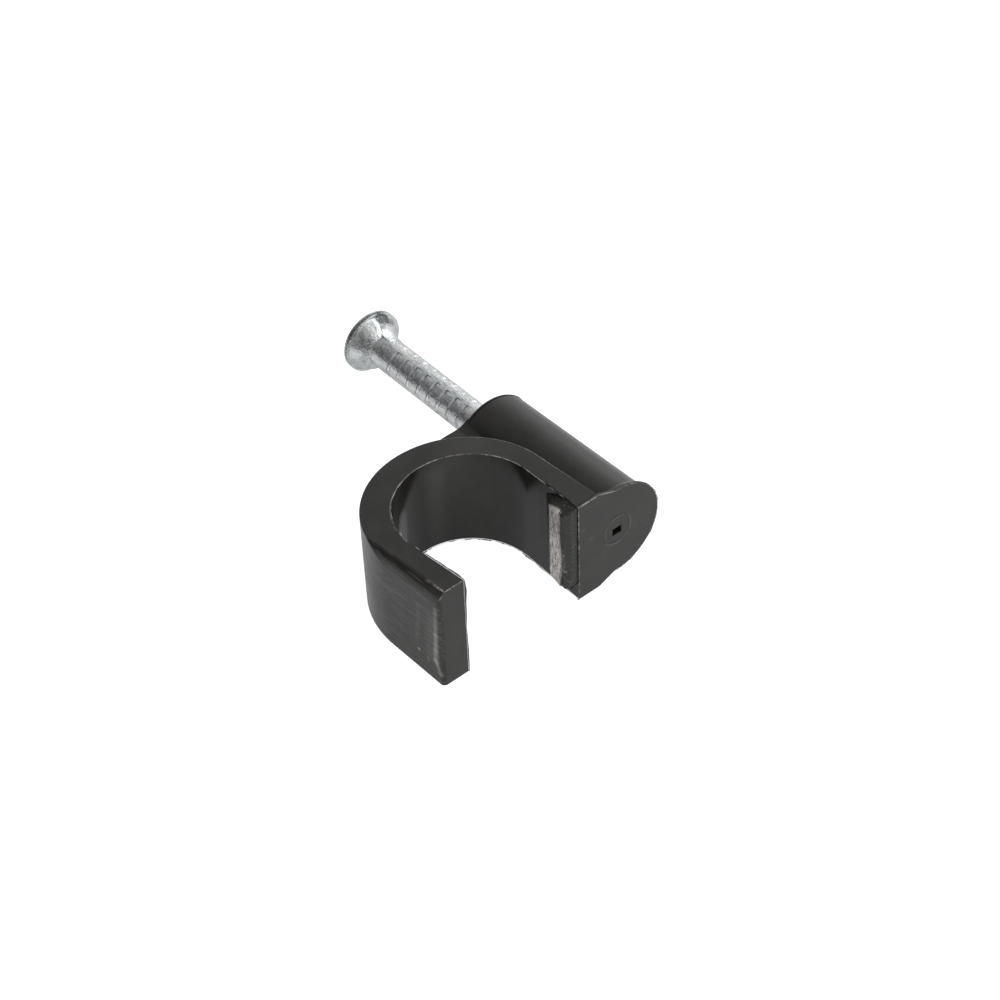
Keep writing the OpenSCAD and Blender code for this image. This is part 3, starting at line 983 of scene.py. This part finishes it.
class ClipRib(bpy.types.Operator):
    """Shapes the snap rib, with the torn skin on its crest and its rounded lead-in"""
    bl_idname = "cable_clip.rib"
    bl_label = "Snap rib"

    def execute(self, context):
        tear_height = context.scene.clip_sizes.tear_height
        bpy.ops.object.select_all(action="DESELECT")
        bpy.ops.mesh.primitive_grid_add(
            x_subdivisions=RIB_CELLS[0], y_subdivisions=RIB_CELLS[1], size=2)
        rib = context.object
        rib.name = rib.data.name = "rib_skin"
        for vert in rib.data.vertices:
            y = between(RIB_ACROSS, (1 - vert.co.x) / 2)
            z = between(RIB_ALONG, (vert.co.y + 1) / 2)
            vert.co = (SEAT_R - self.height(y, z, tear_height), y, z)
        if sum(face.normal.x for face in rib.data.polygons) > 0:
            rib.data.flip_normals()
        add_modifier(rib, "SOLIDIFY", thickness=RIB_THICKNESS, offset=-1.0)
        smooth_by_angle(rib, 55)
        settle(rib, "clip_plastic", torn_material(context.scene.clip_colours))
        return {"FINISHED"}

    def height(self, y, z, tear_height):
        """How far the rib stands off the boss arm's inner side."""
        tear_y = between(TEAR_LINE, z) + 0.02 * noise.noise(Vector((1.3, 0.4, z * 2.2)))
        if y > tear_y:
            body, low = self.crest(y, z, tear_y, tear_height)
        else:
            body, low = self.lead_in(y, z, tear_y)
        high_z = min(2.997 - 0.404 * (y - RIB_FOOT_Y[1]), 3.72)
        high = 1 + (high_z - z) / 0.4
        return max(RIB_SUNK, min(body, low, high) * RIB_H)

    def crest(self, y, z, tear_y, tear_height):
        """The height of the torn crest and its back slope, and of their sloped lower end."""
        back = (RIB_FOOT_Y[1] - y) / (RIB_FOOT_Y[1] - RIB_CREST_Y[1])
        body = min(back, 1.0 - 0.4 * blend(tear_y + 0.08, tear_y, y))
        relief = self.relief(y, z, tear_height)
        body += relief * blend(tear_y, tear_y + 0.06, y) * blend(-3.36, -3.5, y)
        low_z = -2.5 + 0.36 * (y - RIB_CREST_Y[1])
        return body, (z - low_z) / 0.93 + 1

    def lead_in(self, y, z, tear_y):
        """The height of the rounded bar by the wall, and of its rounded lower end."""
        rise = max(0.0, min(1.0, (y - RIB_FOOT_Y[0]) / (tear_y - RIB_FOOT_Y[0])))
        body = 0.96 * blend(0, 0.06, rise) * math.sin(math.pi * (0.06 + 0.74 * rise)) ** 0.6
        body -= 0.2 * blend(tear_y - 0.07, tear_y, y)
        body += 0.02 * noise.noise(Vector((y * 4, z * 3, 2.2))) * rise
        bar = (y - RIB_FOOT_Y[0]) / 0.7
        low_z = -2.8 + 0.75 * (2 * bar - 0.9) ** 4
        low = (z - low_z) / 0.3 + 1
        return body, low if low <= 0 else math.sin(0.5 * math.pi * min(1.0, low))

    def relief(self, y, z, height):
        """How far the torn fibres stand off the crest."""
        fibre = noise.noise(Vector((y * 6.0, z * 0.8, 0.3)))
        tooth = noise.noise(Vector((y * 10.0, z * 4.5, 4.1)))
        ridge = 1 - abs(noise.noise(Vector((y * 9.0, z * 1.1, 7.7)))) * 2.2
        return height * (0.2 + 0.6 * fibre + 0.45 * tooth + 0.5 * ridge)


# -------- nail


# The stretch of the shank with grip marks, and the height from which edges are rounded
MARKED_Y = (9.5, NECK_Y - 0.2)
SEEN_Y = 7


class ClipNail(bpy.types.Operator):
    """Wears the nail's grip marks unevenly and rounds its edges"""
    bl_idname = "cable_clip.nail"
    bl_label = "Nail"

    def execute(self, context):
        sizes = context.scene.clip_sizes
        nail = millimetre_copy("nail", "plated_nail")
        for vert in nail.data.vertices:
            self.wear_mark(vert)
        bevel_by_weight(nail, lambda edge: self.edge_width(edge, sizes), 2)
        shade_as_built(nail, self.turned)
        settle(nail, "plated_steel", zinc_material(context.scene.clip_colours), "nail")
        return {"FINISHED"}

    def wear_mark(self, vert):
        """Spaces the grip marks as the dies did, and makes each one its own depth."""
        x, y, z = vert.co
        away = from_nail_axis(vert.co)
        if away > NAIL_R + ON_ROUND or not MARKED_Y[0] < y < MARKED_Y[1]:
            return
        vert.co.y = FIRST_MARK_Y - (FIRST_GRIP_Y - y) * MARK_PITCH
        depth = NAIL_R - away
        if depth > ON_FLAT:
            uneven = 0.9 + 0.8 * noise.noise(Vector((x * 1.3, y * 2.0, z * 1.3)))
            kept = NAIL_R - depth * max(0.4, min(1.2, uneven))
            vert.co.x = NAIL_X + (x - NAIL_X) * kept / away
            vert.co.z = z * kept / away

    def edge_width(self, edge, sizes):
        """How far an edge is rounded. What the boss hides stays sharp."""
        middle = (edge.verts[0].co + edge.verts[1].co) / 2
        return 0.0 if middle.y < SEEN_Y else sizes.nail_round

    def turned(self, corners, place):
        """The exact normal on the plain shank."""
        if all(abs(from_nail_axis(co) - NAIL_R) < ON_FLAT for co in corners):
            return Vector((place.x - NAIL_X, 0, place.z)).normalized()
        return None


# -------- stage


# The camera's place in millimetres, its azimuth, elevation and roll in degrees, and its lens
CAMERA_PLACE = (-71.016, -91.708, 116.317)
CAMERA_TURN = (-38.796, 43.976, -2.364)
CAMERA_LENS = 90.0
CAMERA_SENSOR = 36.0
CAMERA_CLIP = (0.005, 10.0)
# The plane that the clip rests on, under the hook's flat and the nail's head
FLOOR_UP = Vector((-0.08885, -0.07481, 0.99323))
FLOOR_DEPTH = 4.6933
FLOOR_SIZE = 6.0
# How bright the table is to the camera, and how bright it is in the gloss
FLOOR_SEEN = 0.9
FLOOR_MIRRORED = 0.28
# The room's brightness from its dark end to its bright end, as place and strength
ROOM_TONES = (
    (0.0, 0.08), (0.35, 0.33), (0.6, 0.43), (0.665, 0.47),
    (0.725, 0.7), (0.775, 0.79), (0.805, 1.05), (0.85, 1.5),
)
BRIGHT_WAY = Vector((0.9, -0.3, 0.3)).normalized()
# The dark patch of the room: the way to it, the cosines where it begins and ends, what is left
DARK_WAY = Vector((-0.3, 0.93, 0.2)).normalized()
DARK_FROM, DARK_TO = 0.8, 0.92
DARK_LEFT = 0.45
# Each lamp's name, its place in metres and its energy in watts
LAMPS = (
    ("softbox", Vector((0.25, -0.15, 0.35)), 0.6),
    ("fill", Vector((-0.25, -0.2, 0.25)), 0.8),
)
LAMP_SIZE = 0.3


class ClipStage(bpy.types.Operator):
    """Sets the camera, the white table and the soft studio light"""
    bl_idname = "cable_clip.stage"
    bl_label = "Stage"

    def execute(self, context):
        self.camera(context)
        self.floor(context)
        self.room(context)
        self.lamps(context)
        context.scene.view_settings.view_transform = "Standard"
        return {"FINISHED"}

    def camera(self, context):
        """The camera, as it was fitted to the outlines in the photo."""
        bpy.ops.object.camera_add()
        camera = context.object
        azimuth, elevation, roll = (math.radians(angle) for angle in CAMERA_TURN)
        right = Vector((math.cos(azimuth), math.sin(azimuth), 0))
        back = Vector((
            math.sin(azimuth) * math.cos(elevation),
            -math.cos(azimuth) * math.cos(elevation),
            math.sin(elevation),
        ))
        up = back.cross(right)
        turned_right = math.cos(roll) * right + math.sin(roll) * up
        turned_up = math.cos(roll) * up - math.sin(roll) * right
        turn = Matrix((turned_right, turned_up, back)).transposed().to_4x4()
        camera.matrix_world = Matrix.Translation(Vector(CAMERA_PLACE) * MM) @ turn
        camera.data.lens = CAMERA_LENS
        camera.data.sensor_width = CAMERA_SENSOR
        camera.data.clip_start, camera.data.clip_end = CAMERA_CLIP
        context.scene.camera = camera

    def floor(self, context):
        """A white table on the plane that the clip rests on."""
        bpy.ops.object.select_all(action="DESELECT")
        bpy.ops.mesh.primitive_plane_add(size=FLOOR_SIZE)
        floor = context.object
        floor.name = "table"
        turn = Vector((0, 0, 1)).rotation_difference(FLOOR_UP).to_matrix().to_4x4()
        floor.data.transform(Matrix.Translation(-FLOOR_UP * FLOOR_DEPTH * MM) @ turn)
        material, tree, shader = new_material("white_table")
        shader.inputs["Base Color"].default_value = (*context.scene.clip_colours.floor, 1)
        shader.inputs["Roughness"].default_value = 0.9
        shader.inputs["Specular IOR Level"].default_value = 0.0
        ray = node(tree, "ShaderNodeLightPath").outputs
        seen = plus(tree, ray["Is Camera Ray"], ray["Is Transmission Ray"])
        mirrored = times(tree, ray["Is Glossy Ray"], FLOOR_MIRRORED)
        strength = plus(tree, times(tree, seen, FLOOR_SEEN), mirrored)
        shader.inputs["Emission Color"].default_value = (1, 1, 1, 1)
        join(tree, strength, shader.inputs["Emission Strength"])
        floor.data.materials.append(material)

    def room(self, context):
        """A room that is bright on the nail's side and darkest behind the free arm."""
        world = bpy.data.worlds.new("studio")
        context.scene.world = world
        world.use_nodes = True
        tree = world.node_tree
        tree.nodes.clear()
        output = node(tree, "ShaderNodeOutputWorld")
        way = node(tree, "ShaderNodeTexCoord").outputs["Generated"]
        bright = vector_calc(tree, "DOT_PRODUCT", way, tuple(BRIGHT_WAY), "Value")
        tones = node(tree, "ShaderNodeValToRGB", {0: ramp(tree, bright, -1, 1, smooth=False)})
        steps = tones.color_ramp.elements
        for index, (place, tone) in enumerate(ROOM_TONES):
            step = steps[index] if index < 2 else steps.new(place)
            step.position = place
            step.color = (tone, tone, tone, 1)
        dark = vector_calc(tree, "DOT_PRODUCT", way, tuple(DARK_WAY), "Value")
        seen = times(tree, tones.outputs[0], ramp(tree, dark, DARK_FROM, DARK_TO, 1.0, DARK_LEFT))
        camera_ray = node(tree, "ShaderNodeLightPath").outputs["Is Camera Ray"]
        strength = calc(tree, "MAXIMUM", seen, camera_ray)
        background = node(
            tree, "ShaderNodeBackground", {"Color": (1, 1, 1, 1), "Strength": strength})
        tree.links.new(background.outputs[0], output.inputs["Surface"])

    def lamps(self, context):
        """Two soft lamps that light the pale marks and the table, and aren't mirrored in the gloss.
        """
        for name, place, energy in LAMPS:
            bpy.ops.object.light_add(
                type="AREA", location=place, rotation=place.to_track_quat("Z", "Y").to_euler())
            lamp = context.object
            lamp.name = name
            lamp.data.size = LAMP_SIZE
            lamp.data.energy = energy
            lamp.visible_glossy = False


# -------- panel


class ClipPanel(bpy.types.Panel):
    """Lists the clip's pieces, sizes and colours"""
    bl_idname = "VIEW3D_PT_cable_clip"
    bl_label = "Cable Clip"
    bl_space_type = "VIEW_3D"
    bl_region_type = "UI"
    bl_category = "Cable Clip"

    def draw(self, context):
        for operator in OPERATORS:
            self.layout.operator(operator.bl_idname)
        for group in (context.scene.clip_sizes, context.scene.clip_colours):
            box = self.layout.box()
            for name in group.bl_rna.properties.keys():
                if name not in ("rna_type", "name"):
                    box.prop(group, name)


OPERATORS = (ClipMoulding, ClipRib, ClipNail, ClipStage)
CLASSES = (ClipSizes, ClipColours, *OPERATORS, ClipPanel)


def register():
    for cls in CLASSES:
        bpy.utils.register_class(cls)
    bpy.types.Scene.clip_sizes = bpy.props.PointerProperty(type=ClipSizes)
    bpy.types.Scene.clip_colours = bpy.props.PointerProperty(type=ClipColours)


def unregister():
    del bpy.types.Scene.clip_colours
    del bpy.types.Scene.clip_sizes
    for cls in reversed(CLASSES):
        bpy.utils.unregister_class(cls)


def main():
    register()
    make_line_mark()
    make_mottle()
    bpy.ops.cable_clip.moulding()
    bpy.ops.cable_clip.rib()
    bpy.ops.cable_clip.nail()
    bpy.ops.cable_clip.stage()


if __name__ == "__main__":
    main()
